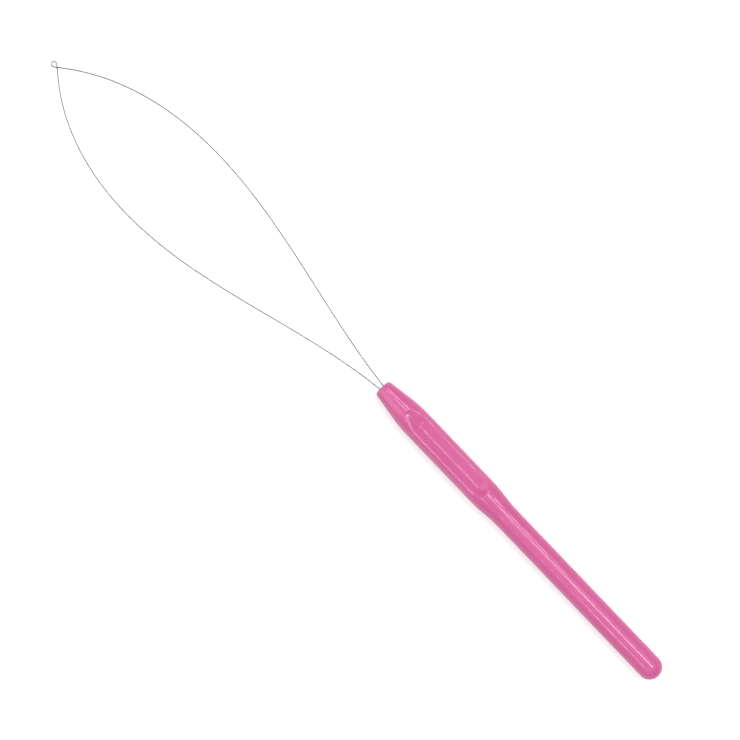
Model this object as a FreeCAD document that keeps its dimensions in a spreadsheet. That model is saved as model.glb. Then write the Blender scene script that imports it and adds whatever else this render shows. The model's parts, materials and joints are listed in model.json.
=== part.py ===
"""Needle threader: a moulded finger handle with a springy wire loop that ends in a small round eye.

Frame: millimetres, +Z up, the threader lying flat. The origin is the centre of the handle's nose face, +X runs
out of the nose towards the tip of the loop, and the handle lies along -X. The loop lies near the XY plane and the
finger recesses face +Z and -Z. Left means +Y.

The loop is one spring wire. It is cut into spans where a squeeze bends it, and each span is a node of its own.
"""
import FreeCAD, Part
import math
import os
from FreeCAD import Placement, Rotation, Vector
from Sketcher import Constraint

doc = FreeCAD.newDocument("needle_threader")

# ---------------------------------------------------------------- driving dimensions
sheet = doc.addObject("Spreadsheet::Sheet", "Sizes")
SIZES = [
    # the handle, turned about the X axis
    ("handle_length", 100.0, "nose face to the end of the butt"),
    ("nose_radius", 2.42, "outside radius of the nose, just behind its rounded edge"),
    ("nose_rounding", 1.0, "radius of the edge round the nose face"),
    ("grip_radius", 3.775, "radius of the thick grip"),
    ("grip_front", 12.7, "distance from the nose face to where the grip is full size"),
    ("nose_blend", 36.0, "radius of the arc between the nose cone and the grip"),
    ("grip_rear", 35.8, "distance from the nose face to the end of the full-size grip"),
    ("neck_length", 10.2, "length of the S-shaped step from the grip to the shank"),
    ("shank_radius", 3.15, "radius of the shank and of its round butt"),
    ("handle_roll", 4.7, "turn of the handle about its axis, from the loop's plane, degrees"),
    # the finger recess, a keeled scoop on the top and the same below
    ("recess_tip", 9.1, "distance from the nose face to the recess's blunt front tip"),
    ("recess_front", 13.5, "where the front ramp meets the level keel"),
    ("recess_rear", 34.3, "where the level keel meets the rounded rear end"),
    ("recess_end", 37.5, "the recess's rear tip"),
    ("keel_height", 1.93, "height of the level keel above the handle's axis"),
    ("front_tip_height", 3.2, "height of the keel at the front tip"),
    ("rear_tip_height", 3.62, "height of the keel at the rear tip"),
    ("flank_angle", 26.0, "slope of the recess's two flanks, degrees"),
    ("keel_rounding", 0.3, "radius along the keel"),
    ("cutter_height", 2.4, "height of the recess section, enough to clear the grip"),
    # the blind bore in the nose and what fills it
    ("bore_radius", 1.0, "radius of the blind bore"),
    ("bore_depth", 20.0, "depth of the blind bore"),
    ("tail_length", 18.0, "length of wire held inside the bore"),
    ("tail_bend", 21.0, "radius of the bend in each tail, just inside the nose"),
    ("tail_proud", 0.25, "length of tail that stands out of the nose"),
    # the wire loop; each leg has a law of its own, because the wire has taken a slight set to the left
    ("wire_diameter", 0.3, "diameter of the spring wire"),
    ("left_offset", 0.74, "distance from the X axis to where the left leg leaves the nose"),
    ("left_peak_angle", 15.77, "the left leg's steepest angle, towards +Y, degrees"),
    ("left_peak_at", 32.9, "distance along the left leg to its steepest angle"),
    ("left_bend_rate", 0.0158, "growth of the left leg's bend along it, degrees per mm per mm"),
    ("right_offset", 0.51, "distance from the X axis to where the right leg leaves the nose"),
    ("right_peak_angle", 11.31, "the right leg's steepest angle, towards -Y, degrees"),
    ("right_peak_at", 29.3, "distance along the right leg to its steepest angle"),
    ("right_bend_rate", 0.01333, "growth of the right leg's bend along it, degrees per mm per mm"),
    ("leg_inner", 65.0, "length of a leg's first span"),
    ("leg_middle", 29.5, "length of a leg's second span"),
    ("stub_length", 2.2, "wire between a leg's last span and the crossing"),
    ("arc_length", 6.0, "longest arc in a leg"),
    ("pivot_gap", 0.3, "gap between the right leg's end and the eye"),
    # the eye at the tip, one turn of a helix
    ("eye_radius", 0.68, "radius of the eye, to the middle of the wire"),
    ("crossing_clearance", 0.1, "free space between the two wires where they cross"),
]
# the rear end's keel rises along a quarter ellipse, through stations at these shares of its length
REAR_SHARES = {"low": 0.45, "mid": 0.72, "high": 0.92}
for name, share in REAR_SHARES.items():
    station = f"=recess_rear + {share} * (recess_end - recess_rear)"
    height = f"=keel_height + (rear_tip_height - keel_height) * (1 - sqrt(1 - {share} * {share}))"
    SIZES.append((f"rear_{name}", station, f"the rear end's {name} station"))
    SIZES.append((f"rear_{name}_height", height, f"height of the keel at the rear end's {name} station"))
for row, (alias, value, note) in enumerate(SIZES, start=1):
    sheet.set(f"A{row}", note)
    sheet.set(f"B{row}", str(value))
    sheet.setAlias(f"B{row}", alias)
doc.recompute()


def size(alias):
    """A driving dimension, as a plain number."""
    return float(sheet.get(alias))


# ---------------------------------------------------------------- helpers for bodies and sketches
def origin_feature(body, role):
    return next(f for f in body.Origin.OriginFeatures if f.Role == role)


def new_sketch(body, name, plane_role, offset=None):
    """A sketch on one of the body's own origin planes; offset is the name of the cell that moves it back along -X."""
    sketch = body.newObject("Sketcher::SketchObject", name)
    sketch.AttachmentSupport = [(origin_feature(body, plane_role), "")]
    sketch.MapMode = "FlatFace"
    if offset:
        sketch.setExpression("AttachmentOffset.Base.z", f"-Sizes.{offset}")
    return sketch


def bind(feature, **expressions):
    """Bind properties of a feature to expressions."""
    for prop, text in expressions.items():
        feature.setExpression(prop, text)


def dimension(sketch, name, kind, *where, value, text):
    """A named sketch dimension whose value follows an expression of the sheet."""
    index = sketch.addConstraint(Constraint(kind, *where, value))
    sketch.renameConstraint(index, name)
    sketch.setExpression(f"Constraints.{name}", text)


START, END, CENTRE = 1, 2, 3
ROOT_POINT, X_AXIS, Y_AXIS = (-1, 1), (-1,), (-2,)


def line(x0, y0, x1, y1):
    return Part.LineSegment(Vector(x0, y0, 0), Vector(x1, y1, 0))


def arc_of(cx, cy, radius, start_deg, end_deg):
    circle = Part.Circle(Vector(cx, cy, 0), Vector(0, 0, 1), radius)
    return Part.ArcOfCircle(circle, math.radians(start_deg), math.radians(end_deg))


# ---------------------------------------------------------------- the handle
def handle_profile(body):
    """Half section of the handle above its axis: nose face, nose edge, cone, blend, grip, S-step, shank and butt."""
    s = new_sketch(body, "handle_profile", "XY_Plane")
    length, nose, edge = size("handle_length"), size("nose_radius"), size("nose_rounding")
    grip, shank = size("grip_radius"), size("shank_radius")
    front, rear, neck = size("grip_front"), size("grip_rear"), size("neck_length")
    blend = size("nose_blend")
    slope = math.atan2(grip - nose, front)
    step = 2 * math.atan2(grip - shank, neck)
    bend = neck / (2 * math.sin(step))
    deg = math.degrees
    face = s.addGeometry(line(0, 0, 0, nose - edge))
    lip = s.addGeometry(arc_of(-edge, nose - edge, edge, 0, 90 - deg(slope)))
    cone = s.addGeometry(line(-edge, nose, blend * math.sin(slope) - front, grip - blend + blend * math.cos(slope)))
    crown = s.addGeometry(arc_of(-front, grip - blend, blend, 90 - deg(slope), 90))
    barrel = s.addGeometry(line(-front, grip, -rear, grip))
    fall = s.addGeometry(arc_of(-rear, grip - bend, bend, 90, 90 + deg(step)))
    rise = s.addGeometry(arc_of(-rear - neck, shank + bend, bend, 270, 270 + deg(step)))
    rod = s.addGeometry(line(-rear - neck, shank, -length + shank, shank))
    butt = s.addGeometry(arc_of(-length + shank, 0, shank, 90, 180))
    axis = s.addGeometry(line(-length, 0, 0, 0))

    add = s.addConstraint
    add(Constraint("Coincident", face, START, *ROOT_POINT))
    add(Constraint("Vertical", face))
    add(Constraint("Tangent", lip, START, face, END))
    add(Constraint("Tangent", cone, START, lip, END))
    add(Constraint("Tangent", crown, START, cone, END))
    add(Constraint("Tangent", barrel, START, crown, END))
    add(Constraint("Horizontal", barrel))
    add(Constraint("Tangent", fall, START, barrel, END))
    add(Constraint("Tangent", rise, END, fall, END))
    add(Constraint("Tangent", rod, START, rise, START))
    add(Constraint("Horizontal", rod))
    add(Constraint("Equal", fall, rise))
    add(Constraint("Tangent", butt, START, rod, END))
    add(Constraint("PointOnObject", butt, CENTRE, *X_AXIS))
    add(Constraint("PointOnObject", butt, END, *X_AXIS))
    add(Constraint("Coincident", axis, START, butt, END))
    add(Constraint("Coincident", axis, END, *ROOT_POINT))
    lip_text = "Sizes.nose_radius - Sizes.nose_rounding"
    dimension(s, "lip_radius", "Radius", lip, value=edge, text="Sizes.nose_rounding")
    dimension(s, "lip_height", "DistanceY", *ROOT_POINT, lip, CENTRE, value=nose - edge, text=lip_text)
    dimension(s, "crown_radius", "Radius", crown, value=blend, text="Sizes.nose_blend")
    dimension(s, "crown_end", "DistanceX", crown, END, *ROOT_POINT, value=front, text="Sizes.grip_front")
    dimension(s, "grip_height", "DistanceY", *ROOT_POINT, barrel, START, value=grip, text="Sizes.grip_radius")
    dimension(s, "barrel_end", "DistanceX", barrel, END, *ROOT_POINT, value=rear, text="Sizes.grip_rear")
    dimension(s, "neck_span", "DistanceX", rise, START, barrel, END, value=neck, text="Sizes.neck_length")
    dimension(s, "shank_height", "DistanceY", *ROOT_POINT, rod, START, value=shank, text="Sizes.shank_radius")
    dimension(s, "overall", "DistanceX", butt, END, *ROOT_POINT, value=length, text="Sizes.handle_length")
    return s


def recess_section(body, name, station, height):
    """One V-shaped section of the finger recess, square to X: a rounded keel, two flanks and a flat top."""
    s = new_sketch(body, name, "YZ_Plane", offset=station)
    keel, tall, flank = size(height), size("cutter_height"), math.radians(size("flank_angle"))
    r = size("keel_rounding")
    half = tall / math.tan(flank)
    reach = r * math.sin(flank)
    low = keel + r - r * math.cos(flank)
    bottom = s.addGeometry(arc_of(0, keel + r, r, 270 - math.degrees(flank), 270 + math.degrees(flank)))
    right = s.addGeometry(line(reach, low, half, keel + tall))
    top = s.addGeometry(line(half, keel + tall, -half, keel + tall))
    left = s.addGeometry(line(-half, keel + tall, -reach, low))
    add = s.addConstraint
    add(Constraint("PointOnObject", bottom, CENTRE, *Y_AXIS))
    add(Constraint("Tangent", right, START, bottom, END))
    add(Constraint("Coincident", top, START, right, END))
    add(Constraint("Horizontal", top))
    add(Constraint("Coincident", left, START, top, END))
    add(Constraint("Tangent", bottom, START, left, END))
    add(Constraint("Equal", left, right))
    dimension(s, "rounding", "Radius", bottom, value=r, text="Sizes.keel_rounding")
    dimension(s, "height", "DistanceY", *ROOT_POINT, bottom, CENTRE, value=keel + r,
              text=f"Sizes.{height} + Sizes.keel_rounding")
    dimension(s, "depth", "DistanceY", bottom, CENTRE, top, START, value=tall - r,
              text="Sizes.cutter_height - Sizes.keel_rounding")
    dimension(s, "flank", "Angle", -1, 1, right, 1, value=flank, text="Sizes.flank_angle * 1 deg")
    return s


def make_handle():
    """The moulded handle: a turned blank, a scooped recess, the same recess below, and the bore."""
    body = doc.addObject("PartDesign::Body", "handle_body")
    profile = handle_profile(body)
    turned = body.newObject("PartDesign::Revolution", "turned")
    turned.Profile = profile
    turned.ReferenceAxis = (origin_feature(body, "X_Axis"), [""])
    turned.Angle = 360
    doc.recompute()
    blank = turned.Shape.Volume

    stations = {
        "recess_tip": "front_tip_height",
        "recess_front": "keel_height",
        "recess_rear": "keel_height",
        **{f"rear_{name}": f"rear_{name}_height" for name in REAR_SHARES},
        "recess_end": "rear_tip_height",
    }
    sections = [recess_section(body, f"section_{at}", at, height) for at, height in stations.items()]
    scoop = body.newObject("PartDesign::SubtractiveLoft", "finger_recess")
    scoop.Profile = sections[0]
    scoop.Sections = sections[1:]
    scoop.Ruled = True
    scoop.Closed = False
    doc.recompute()
    scooped = scoop.Shape.Volume

    both = body.newObject("PartDesign::Mirrored", "lower_recess")
    both.Originals = [scoop]
    both.MirrorPlane = (origin_feature(body, "XY_Plane"), [""])
    body.Tip = both
    doc.recompute()
    mirrored = both.Shape.Volume

    mouth = new_sketch(body, "bore_mouth", "YZ_Plane")
    circle = mouth.addGeometry(Part.Circle(Vector(0, 0, 0), Vector(0, 0, 1), size("bore_radius")))
    mouth.addConstraint(Constraint("Coincident", circle, CENTRE, *ROOT_POINT))
    dimension(mouth, "bore", "Radius", circle, value=size("bore_radius"), text="Sizes.bore_radius")
    bore = body.newObject("PartDesign::Pocket", "bore")
    bore.Profile = mouth
    bind(bore, Length="Sizes.bore_depth")
    body.Placement = Placement(Vector(0, 0, 0), Rotation(Vector(1, 0, 0), size("handle_roll")))
    doc.recompute()
    volumes = (blank, scooped, mirrored, bore.Shape.Volume)
    print("handle volumes:", *(round(volume, 1) for volume in volumes))
    return body


# ---------------------------------------------------------------- the wire
SIDES = {"left": 1, "right": -1}


def leg_angle(name, along):
    """A leg's angle from +X, away from the axis, in degrees, after a length of wire: a parabola, so the bend grows
    evenly along the wire, as in a strip of spring wire pushed together at its ends."""
    fall = size(f"{name}_bend_rate") / 2 * (along - size(f"{name}_peak_at")) ** 2
    return size(f"{name}_peak_angle") - fall


def leg_start(name):
    """Where a leg begins, at the end of the tail that stands out of the nose."""
    return Vector(size("tail_proud"), SIDES[name] * size(f"{name}_offset"), 0)


def leg_step(name, point, along, step):
    """Moves a point of a leg along one arc, whose chord lies at the mean of the arc's two angles."""
    before, after = leg_angle(name, along), leg_angle(name, along + step)
    turn, heading = math.radians(after - before), math.radians(after + before) / 2
    chord = step * math.sin(turn / 2) / (turn / 2) if turn else step
    return point + Vector(math.cos(heading), SIDES[name] * math.sin(heading), 0) * chord


def leg_lengths():
    """The length of each leg, which ends a stub's length before the legs cross. Both legs are walked in small steps,
    side by side, until they cross."""
    point, along = {name: leg_start(name) for name in SIDES}, dict.fromkeys(SIDES, 0.0)
    step = size("wire_diameter") / 10
    while point["left"].y > point["right"].y:
        name = min(SIDES, key=lambda side: point[side].x)
        point[name] = leg_step(name, point[name], along[name], step)
        along[name] += step
    return {name: along[name] - size("stub_length") for name in SIDES}


def leg_span(name, point, start, length):
    """The centre line of one span of a leg, as equal tangent arcs: its edges and its end point."""
    count = math.ceil(length / size("arc_length"))
    step, edges = length / count, []
    for i in range(count):
        along = start + i * step
        end = leg_step(name, point, along, step)
        before, after = leg_angle(name, along), leg_angle(name, along + step)
        bulge = SIDES[name] * math.tan(math.radians(before - after) / 4) / 2
        chord = end - point
        middle = point + chord / 2 + Vector(-chord.y, chord.x, 0) * bulge
        edges.append(Part.Arc(point, middle, end).toShape())
        point = end
    return edges, point


def tube(edges, name):
    """A round wire swept along tangent edges. Its volume has to be its section times its length."""
    path = Part.Wire(edges)
    begin = path.OrderedVertexes[0].Point
    first = path.OrderedEdges[0]
    at_start = first.valueAt(first.FirstParameter).distanceToPoint(begin) < 1e-6
    heading = first.tangentAt(first.FirstParameter if at_start else first.LastParameter)
    section = Part.Wire(Part.makeCircle(size("wire_diameter") / 2, begin, heading))
    sweep = Part.BRepOffsetAPI.MakePipeShell(path)
    sweep.setBiNormalMode(Vector(0, 0, 1))
    sweep.add(section)
    sweep.build()
    sweep.makeSolid()
    solid = sweep.shape()
    wanted = math.pi * (size("wire_diameter") / 2) ** 2 * path.Length
    print(f"{name}: {path.Length:.2f} mm of wire, volume {solid.Volume:.4f} of {wanted:.4f} mm3")
    if not solid.isValid() or abs(solid.Volume / wanted - 1) > 0.01:
        raise RuntimeError(f"{name} is swept wrongly")
    return solid


def tail_edges(name):
    """The wire held in the bore: straight, then a bend that turns it towards its leg just inside the nose, then the
    short straight end that stands out of the nose."""
    turn = math.radians(SIDES[name] * leg_angle(name, 0))
    radius = math.copysign(size("tail_bend"), turn)
    out = leg_start(name)
    bend_end = out - Vector(math.cos(turn), math.sin(turn), 0) * size("tail_proud")
    centre = bend_end + Vector(-math.sin(turn), math.cos(turn), 0) * radius
    bend_start = centre - Vector(0, radius, 0)
    middle = centre + Vector(math.sin(turn / 2), -math.cos(turn / 2), 0) * radius
    far_end = Vector(-size("tail_length"), bend_start.y, 0)
    return [
        Part.LineSegment(far_end, bend_start).toShape(),
        Part.Arc(bend_start, middle, bend_end).toShape(),
        Part.LineSegment(bend_end, out).toShape(),
    ]


def eye_geometry(ends, lengths):
    """Sizes and place of the eye, one turn of a helix about +Z. The legs' last stretches, straight from their ends,
    cross and run tangent into the helix. They rise at the helix's own slope, which is chosen so that the wires clear
    each other at the crossing."""
    left, right = (math.radians(leg_angle(name, lengths[name])) for name in SIDES)
    half, lean = -(left + right) / 2, (left - right) / 2
    towards = Vector(math.cos(left), math.sin(left), 0)
    across = ends["right"] - ends["left"]
    other = Vector(math.cos(right), -math.sin(right), 0)
    to_crossing = across.cross(other).z / towards.cross(other).z
    crossing = ends["left"] + towards * to_crossing
    radius = size("eye_radius")
    to_tangent, turn = radius / math.tan(half), math.pi + 2 * half
    slope = (size("wire_diameter") + size("crossing_clearance")) / (turn * radius + 2 * to_tangent)
    stubs = {name: to_tangent + crossing.distanceToPoint(ends[name]) for name in SIDES}
    return {
        "place": Placement(crossing, Rotation(Vector(0, 0, 1), math.degrees(lean))),
        "half_angle": half,
        "centre": Vector(radius / math.sin(half), 0, 0),
        "pitch": 2 * math.pi * radius * slope,
        "rise": turn * radius * slope,
        "lift": {name: turn * radius * slope / 2 + stubs[name] * slope for name in SIDES},
    }


def eye_edges(eye, ends):
    """The eye's centre line: the left leg's stub, the turn, and the right leg's stub, which passes above."""
    helix = Part.makeHelix(eye["pitch"], eye["rise"], size("eye_radius"))
    start_angle = -90 - math.degrees(eye["half_angle"])
    bottom = eye["centre"] - Vector(0, 0, eye["rise"] / 2)
    helix.Placement = eye["place"].multiply(Placement(bottom, Rotation(Vector(0, 0, 1), start_angle)))
    low, high = sorted((v.Point for v in helix.Vertexes), key=lambda p: p.z)
    from_left = ends["left"] - Vector(0, 0, eye["lift"]["left"])
    to_right = ends["right"] + Vector(0, 0, eye["lift"]["right"])
    stubs = [Part.LineSegment(*ends).toShape() for ends in ((from_left, low), (high, to_right))]
    return [stubs[0], *helix.Edges, stubs[1]]


def add_feature(name, shape):
    feature = doc.addObject("Part::Feature", name)
    feature.Shape = shape
    return feature


def make_tails():
    tails = [tube(tail_edges(name), f"{name} tail") for name in SIDES]
    return add_feature("wire_tails", Part.makeCompound(tails))


def make_legs(lengths):
    """The two legs, three spans each, laid flat. Returns their features and where each leg ends."""
    features, ends = {name: [] for name in SIDES}, {}
    for name in SIDES:
        point, start = leg_start(name), 0.0
        outer = lengths[name] - size("leg_inner") - size("leg_middle")
        spans = {"inner": size("leg_inner"), "middle": size("leg_middle"), "outer": outer}
        for span, length in spans.items():
            node = f"{name}_leg_{span}"
            print(f"{node} turns about ({point.x:.4f}, {point.y:.4f})")
            edges, end = leg_span(name, point, start, length)
            if node == "right_leg_outer":
                edges, _ = leg_span(name, point, start, length - size("pivot_gap"))
            features[name].append(add_feature(node, tube(edges, node)))
            point, start = end, start + length
        ends[name] = point
    return features, ends


def tilt_legs(features, ends, eye):
    """Tilts each flat leg about its start, so that the left leg's end meets the eye's lower stub and the right leg's
    end its upper stub."""
    for name, side in SIDES.items():
        start = leg_start(name)
        tilt = side * math.degrees(math.atan2(eye["lift"][name], ends[name].x - start.x))
        for feature in features[name]:
            feature.Placement = Placement(Vector(0, 0, 0), Rotation(Vector(0, 1, 0), tilt), start)


def make_eye(eye, ends):
    print(f"tip_eye turns about ({ends['left'].x:.4f}, {ends['left'].y:.4f})")
    return add_feature("tip_eye", tube(eye_edges(eye, ends), "tip_eye"))


def make_bond(tails):
    """The cured adhesive that fills the bore round the wire's tails."""
    fill = doc.addObject("Part::Cylinder", "bond_fill")
    bind(fill, Radius="Sizes.bore_radius", Height="Sizes.bore_depth")
    fill.Placement = Placement(Vector(0, 0, 0), Rotation(Vector(0, 1, 0), -90))
    bond = doc.addObject("Part::Cut", "bond_plug")
    bond.Base = fill
    bond.Tool = tails
    return bond


# ---------------------------------------------------------------- the assembly
handle = make_handle()
tails = make_tails()
bond = make_bond(tails)
leg_sizes = leg_lengths()
legs, leg_ends = make_legs(leg_sizes)
eye_sizes = eye_geometry(leg_ends, leg_sizes)
tilt_legs(legs, leg_ends, eye_sizes)
eye = make_eye(eye_sizes, leg_ends)
nodes = [handle, tails, bond, *legs["left"], *legs["right"], eye]
for node in nodes:
    node.Label = node.Name
doc.recompute()

failed = [o.Name for o in doc.Objects if "Invalid" in o.State or "Error" in o.State]
failed += [n.Label for n in nodes if n.Shape.isNull() or not n.Shape.isValid()]
if failed:
    raise RuntimeError(f"these objects failed: {failed}")
os.makedirs("parts", exist_ok=True)
for node in nodes:
    node.Shape.exportStep(f"parts/{node.Label}.step")
print("written:", ", ".join(n.Label for n in nodes))
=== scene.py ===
"""Builds the looks of a needle threader, a moulded pink handle with a springy wire loop, around its
fixed frame.

Everything is in metres, in the frame's own coordinates: the origin is the centre of the handle's nose
face, +X runs out of the nose towards the tip of the loop, +Z is up, and left means +Y.
"""
import json
import math

import bpy
import numpy as np
from bpy.props import FloatProperty, FloatVectorProperty, PointerProperty
from bpy.types import Operator, Panel, PropertyGroup
from mathutils import Matrix, Vector


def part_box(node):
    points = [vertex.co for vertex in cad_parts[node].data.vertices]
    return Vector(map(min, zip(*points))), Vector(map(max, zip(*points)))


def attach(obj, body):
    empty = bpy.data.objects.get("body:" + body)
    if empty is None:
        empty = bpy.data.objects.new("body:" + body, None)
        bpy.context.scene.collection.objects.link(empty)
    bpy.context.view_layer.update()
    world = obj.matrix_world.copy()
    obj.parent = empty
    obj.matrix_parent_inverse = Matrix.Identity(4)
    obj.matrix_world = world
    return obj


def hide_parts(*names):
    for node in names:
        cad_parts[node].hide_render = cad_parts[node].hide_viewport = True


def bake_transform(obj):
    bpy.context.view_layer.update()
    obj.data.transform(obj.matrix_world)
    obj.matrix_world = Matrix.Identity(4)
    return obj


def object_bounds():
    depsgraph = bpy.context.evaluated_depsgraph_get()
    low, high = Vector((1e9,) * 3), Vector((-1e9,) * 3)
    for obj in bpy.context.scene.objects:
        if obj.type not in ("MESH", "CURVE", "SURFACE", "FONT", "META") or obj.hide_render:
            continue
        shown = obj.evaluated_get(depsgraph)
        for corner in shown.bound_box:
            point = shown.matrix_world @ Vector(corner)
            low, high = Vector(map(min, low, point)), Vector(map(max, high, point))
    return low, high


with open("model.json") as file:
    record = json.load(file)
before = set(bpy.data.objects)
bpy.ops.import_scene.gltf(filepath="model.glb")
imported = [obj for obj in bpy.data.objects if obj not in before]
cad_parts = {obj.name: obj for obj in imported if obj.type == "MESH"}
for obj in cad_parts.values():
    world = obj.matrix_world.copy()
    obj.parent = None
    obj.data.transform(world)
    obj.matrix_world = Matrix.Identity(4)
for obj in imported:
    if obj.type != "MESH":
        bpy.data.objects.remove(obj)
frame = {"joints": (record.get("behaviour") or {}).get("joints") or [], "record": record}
cad_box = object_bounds()

bl_info = {
    "name": "Needle Threader",
    "version": (1, 0, 0),
    "blender": (4, 5, 0),
    "location": "View3D > Sidebar > Threader",
    "description": "Builds a moulded needle threader with a springy wire loop",
    "category": "Object",
}

MM = 0.001
JOINTS = {j["name"]: j for j in frame["joints"]}
MOUNTS = {m["name"]: m for m in frame["record"]["mounts"]}
HANDLE_LOW, HANDLE_HIGH = (np.array(corner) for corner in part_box("handle_body"))
BOND_LOW, BOND_HIGH = (np.array(corner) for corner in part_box("bond_plug"))
TAIL_LOW, TAIL_HIGH = (np.array(corner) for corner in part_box("wire_tails"))
SIDES = {"left": 1, "right": -1}


def length(name, value, description):
    """A length in metres that a user may change."""
    return FloatProperty(name=name, default=value, description=description, unit="LENGTH", precision=5)


def angle(name, degrees, description):
    """An angle that a user may change, given here in degrees."""
    return FloatProperty(name=name, default=math.radians(degrees), description=description, unit="ROTATION")


def number(name, value, description):
    """A plain number that a user may change."""
    return FloatProperty(name=name, default=value, description=description)


def colour(name, value, description):
    """A colour that a user may change, in linear red, green and blue."""
    return FloatVectorProperty(name=name, default=value, description=description, subtype="COLOR", size=3,
                               min=0, max=1)


class HandleSizes(PropertyGroup):
    """The moulded handle, turned about the X axis."""

    overall: length("Length", float(-HANDLE_LOW[0]), "Nose face to the end of the butt")
    nose: length("Nose radius", 2.42 * MM, "Radius of the nose just behind its rounded edge")
    nose_rounding: length("Nose rounding", 1.0 * MM, "Radius of the edge round the nose face")
    grip: length("Grip radius", float(HANDLE_HIGH[1]), "Radius of the thick grip")
    grip_front: length("Grip front", 12.7 * MM, "Nose face to where the grip is full size")
    nose_blend: length("Nose blend", 36 * MM, "Radius of the arc between the nose cone and the grip")
    grip_rear: length("Grip rear", 35.8 * MM, "Nose face to the end of the full-size grip")
    neck: length("Neck", 10.2 * MM, "Length of the S-shaped step from the grip to the shank")
    shank: length("Shank radius", MOUNTS["shank"]["dims"]["r_mm"] * MM, "Radius of the shank and its butt")
    bore: length("Bore radius", float(BOND_HIGH[1]), "Radius of the blind bore in the nose")
    mouth_rounding: length("Mouth rounding", 0.12 * MM, "Radius of the edge round the bore's mouth")
    roll: angle("Roll", 4.7, "Turn of the handle about its axis, from the loop's plane")
    seam_height: length("Seam height", 0.012 * MM, "Height of the witness line left by the mould's halves")
    seam_width: length("Seam width", 0.07 * MM, "Half width of that line")


class RecessSizes(PropertyGroup):
    """The keeled finger recess, on the top and on the underside."""

    tip: length("Front tip", 9.1 * MM, "Nose face to the recess's blunt front tip")
    front: length("Keel front", 13.5 * MM, "Where the front ramp meets the level keel")
    rear: length("Keel rear", 33.7 * MM, "Where the level keel meets the rounded rear end")
    end: length("Rear tip", 37.1 * MM, "The recess's rear tip")
    keel: length("Keel height", 1.93 * MM, "Height of the level keel above the axis")
    tip_height: length("Front tip height", 3.2 * MM, "Height of the keel at the front tip")
    end_height: length("Rear tip height", 3.72 * MM, "Height of the keel at the rear tip")
    tip_wall: number("Front wall", 2.0, "Slope of the short wall at the front tip, rise over run")
    rear_power: number("Rear scoop power", 2.7, "How roundly the rear end rises: 1 is a straight ramp")
    flank: angle("Flank", 26, "Slope of the two flanks")
    keel_rounding: length("Keel rounding", 0.4 * MM, "How softly the flanks meet along the keel")
    ramp_rounding: length("Ramp rounding", 0.08 * MM, "How softly the ramps meet the level keel")
    rim_rounding: length("Rim rounding", 0.8 * MM, "How softly the recess meets the grip")


class WireSizes(PropertyGroup):
    """The spring wire and the law of each leg's bend."""

    diameter: length("Wire diameter", float(TAIL_HIGH[2] - TAIL_LOW[2]), "Diameter of the spring wire")
    left_peak: angle("Left peak", 15.77, "The left leg's steepest angle from the X axis")
    left_peak_at: length("Left peak at", 32.9 * MM, "Distance along the left leg to its steepest angle")
    left_rate: number("Left bend rate", 0.0158, "Growth of the left leg's bend, degrees per mm per mm")
    right_peak: angle("Right peak", 11.31, "The right leg's steepest angle from the X axis")
    right_peak_at: length("Right peak at", 29.3 * MM, "Distance along the right leg to its steepest angle")
    right_rate: number("Right bend rate", 0.01333, "Growth of the right leg's bend, degrees per mm per mm")
    tail_bend: length("Tail bend", 21 * MM, "Radius of the bend in each tail, just inside the nose")
    stub: length("Stub", 2.2 * MM, "Wire between the last span and the crossing")
    eye: length("Eye radius", 0.68 * MM, "Radius of the eye, to the middle of the wire")
    clearance: length("Crossing clearance", 0.1 * MM, "Free space between the two wires where they cross")


class FinishSettings(PropertyGroup):
    """Colours and surface finish."""

    plastic: colour("Plastic", (0.71, 0.128, 0.35), "Solid colour of the moulded handle")
    plastic_deep: colour("Plastic, deep", (0.68, 0.110, 0.315), "The same, where the melt flowed last")
    steel: colour("Wire", (0.26, 0.26, 0.268), "Drawn stainless spring wire")
    bond: colour("Bond", (0.66, 0.52, 0.36), "Cured adhesive in the bore")
    floor: colour("Floor", (0.85, 0.85, 0.85), "Plain pale floor")
    floor_glow: number("Floor glow", 0.38, "How much whiter the floor looks than the light on it makes it")


class StageSettings(PropertyGroup):
    """Camera, lights and floor."""

    view_width: length("View width", 185 * MM, "Width of the view at the handle's axis")
    camera_height: length("Camera height", 0.9, "Height of the camera above the handle's axis")
    centre_x: length("View centre X", 5.14 * MM, "Where the view is centred along the handle's axis")
    centre_y: length("View centre Y", -0.82 * MM, "Where the view is centred across the handle's axis")
    roll: angle("Roll", 46.27, "Turn of the handle's axis down from the view's horizontal")
    floor_size: length("Floor size", 6.0, "Side of the floor")
    strip_width: length("Strip width", 0.085, "Width of each long strip light")
    strip_distance: length("Strip distance", 1.25, "Distance of each strip light from the handle's axis")


# ---------------------------------------------------------------- meshes from numpy grids
def mesh_object(name, vertices, faces, smooth=True):
    """A mesh object at the origin from an array of vertices and a list of faces."""
    mesh = bpy.data.meshes.new(name)
    mesh.from_pydata(vertices.tolist(), [], faces)
    mesh.validate()
    mesh.polygons.foreach_set("use_smooth", [smooth] * len(mesh.polygons))
    mesh.update()
    made = bpy.data.objects.new(name, mesh)
    bpy.context.scene.collection.objects.link(made)
    return made


def ring_faces(rows, ring):
    """Quads between successive rings of a tube, wound so that they face outwards when the rings turn
    anticlockwise about the direction of travel."""
    row, col = np.meshgrid(np.arange(rows - 1), np.arange(ring), indexing="ij")
    after = (col + 1) % ring
    here, beyond = row * ring, (row + 1) * ring
    quads = np.stack([here + col, here + after, beyond + after, beyond + col], -1)
    return quads.reshape(-1, 4).tolist()


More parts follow.
